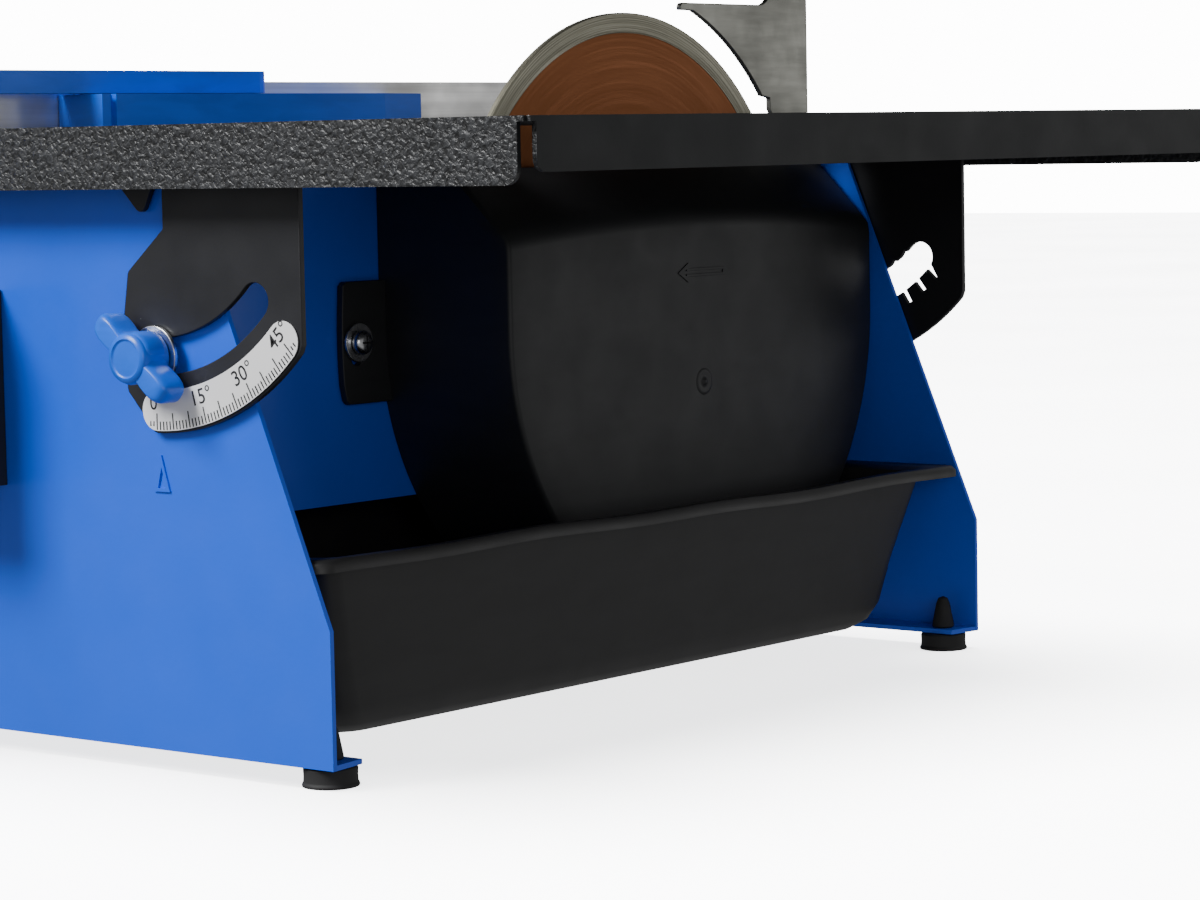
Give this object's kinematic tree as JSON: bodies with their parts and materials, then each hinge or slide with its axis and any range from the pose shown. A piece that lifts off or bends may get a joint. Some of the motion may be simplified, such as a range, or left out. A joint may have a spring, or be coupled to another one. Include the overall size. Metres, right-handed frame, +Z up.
{
  "type": "tile cutter",
  "caption": "Table-top wet tile saw: black tilting table, blue sheet-metal base, diamond blade with riving knife and hood, water tray, round blade cover, tilt dial, rip fence and angle stop.",
  "frame": {"origin": "centre of the whole part in plan, on the plane the feet stand on", "axes": "+X to the operator's right, +Y away from the operator along the blade, +Z up"},
  "size_m": [0.33, 0.4086, 0.272],
  "materials": {
    "blue_sheet": "semi-gloss powder coat",
    "black_sheet": "textured powder coat",
    "black_plastic": "matte",
    "blue_plastic": "satin moulded",
    "rubber_feet": "matte",
    "bright_steel": "zinc plated",
    "dark_steel": "ground",
    "aluminium": "cast or extruded",
    "blade": "copper-tinted lacquer with a ground rim",
    "dial_film": "silver film with engraved graduations",
    "green_button": "gloss",
    "red_button": "gloss"
  },
  "bodies": {
    "base": {"front_panel": "blue_sheet", "rear_panel": "blue_sheet", "motor_wall": "blue_sheet", "left_cover": "blue_sheet", "bottom_plate": "blue_sheet", "foot_front_right": "rubber_feet", "foot_rear_right": "rubber_feet", "foot_front_left": "rubber_feet", "foot_rear_left": "rubber_feet", "tray_ledge_front": "blue_sheet", "tray_ledge_rear": "blue_sheet", "water_tray": "black_plastic", "guard_cover": "black_plastic", "guard_washer": "bright_steel", "guard_screw": "bright_steel", "motor_casing": "aluminium", "motor_front_shield": "aluminium", "motor_rear_shield": "aluminium", "stator": "dark_steel", "bearing_front": "bright_steel", "bearing_rear": "bright_steel", "capacitor": "black_plastic", "riving_knife": "dark_steel", "knife_bracket": "bright_steel", "knife_screw_1": "bright_steel", "knife_screw_2": "bright_steel", "hood_bolt": "bright_steel", "pivot_rivet_front": "dark_steel", "pivot_rivet_rear": "dark_steel", "front_clamp_bolt": "bright_steel", "rear_clamp_bolt": "bright_steel", "front_clamp_washer": "bright_steel", "rear_clamp_washer": "bright_steel", "switch_box": "black_plastic", "cable_gland": "black_plastic"},
    "arbor": {"motor_shaft": "bright_steel", "rotor": "dark_steel", "cooling_fan": "black_plastic", "inner_flange": "bright_steel", "blade": "blade", "outer_flange": "bright_steel", "arbor_nut": "bright_steel"},
    "table": {"table_top": "black_sheet", "front_sector": "black_sheet", "rear_sector": "black_sheet", "scale_label": "dial_film"},
    "fence": {"fence_bar": "aluminium", "fence_block_front": "blue_plastic", "fence_block_rear": "blue_plastic"},
    "fence_knob_front": {"fence_knob_front": "blue_plastic"},
    "fence_knob_rear": {"fence_knob_rear": "blue_plastic"},
    "angle_stop": {"angle_stop_base": "blue_plastic", "angle_stop_nut": "black_plastic"},
    "stop_arm": {"angle_stop_arm": "blue_plastic"},
    "front_clamp_knob": {"front_clamp_knob": "blue_plastic"},
    "rear_clamp_knob": {"rear_clamp_knob": "blue_plastic"},
    "hood": {"blade_hood": "black_plastic"},
    "hood_knob": {"hood_knob": "blue_plastic"},
    "start_button": {"start_button": "green_button"},
    "stop_button": {"stop_button": "red_button"}
  },
  "joints": [
    {"name": "blade_spin", "type": "hinge", "parent": "base", "child": "arbor", "pos_m": [0.011, 0.0565, 0.1307], "axis": [1, 0, 0], "continuous": true},
    {"name": "table_tilt", "type": "hinge", "parent": "base", "child": "table", "pos_m": [0.016, 0, 0.175], "axis": [0, 1, 0], "range_deg": [0, 45]},
    {"name": "fence_slide", "type": "slide", "parent": "table", "child": "fence", "axis": [1, 0, 0], "range_m": [-0.04, 0.05]},
    {"name": "fence_knob_front_turn", "type": "hinge", "parent": "fence", "child": "fence_knob_front", "pos_m": [-0.111, -0.193, 0.172], "axis": [0, -1, 0], "range_deg": [0, 180]},
    {"name": "fence_knob_rear_turn", "type": "hinge", "parent": "fence", "child": "fence_knob_rear", "pos_m": [-0.111, 0.193, 0.172], "axis": [0, 1, 0], "range_deg": [0, 180]},
    {"name": "angle_stop_slide", "type": "slide", "parent": "fence", "child": "angle_stop", "axis": [0, 1, 0], "range_m": [-0.08, 0.02]},
    {"name": "stop_arm_turn", "type": "hinge", "parent": "angle_stop", "child": "stop_arm", "pos_m": [-0.097, -0.0114, 0.2], "axis": [0, 0, 1], "range_deg": [0, 45]},
    {"name": "front_clamp_turn", "type": "hinge", "parent": "base", "child": "front_clamp_knob", "pos_m": [0.016, -0.17, 0.1199], "axis": [0, -1, 0], "range_deg": [0, 180]},
    {"name": "rear_clamp_turn", "type": "hinge", "parent": "base", "child": "rear_clamp_knob", "pos_m": [0.016, 0.17, 0.1199], "axis": [0, 1, 0], "range_deg": [0, 180]},
    {"name": "hood_lift", "type": "hinge", "parent": "base", "child": "hood", "pos_m": [0.011, 0.1495, 0.256], "axis": [1, 0, 0], "range_deg": [-70, 0]},
    {"name": "hood_knob_turn", "type": "hinge", "parent": "base", "child": "hood_knob", "pos_m": [0.024, 0.1495, 0.256], "axis": [1, 0, 0], "range_deg": [0, 180]},
    {"name": "start_press", "type": "slide", "parent": "base", "child": "start_button", "axis": [0, 1, 0], "range_m": [0, 0.003], "stiffness_N_per_m": 400, "springref_m": -0.002},
    {"name": "stop_press", "type": "slide", "parent": "base", "child": "stop_button", "axis": [0, 1, 0], "range_m": [0, 0.003], "stiffness_N_per_m": 400, "springref_m": -0.002}
  ]
}
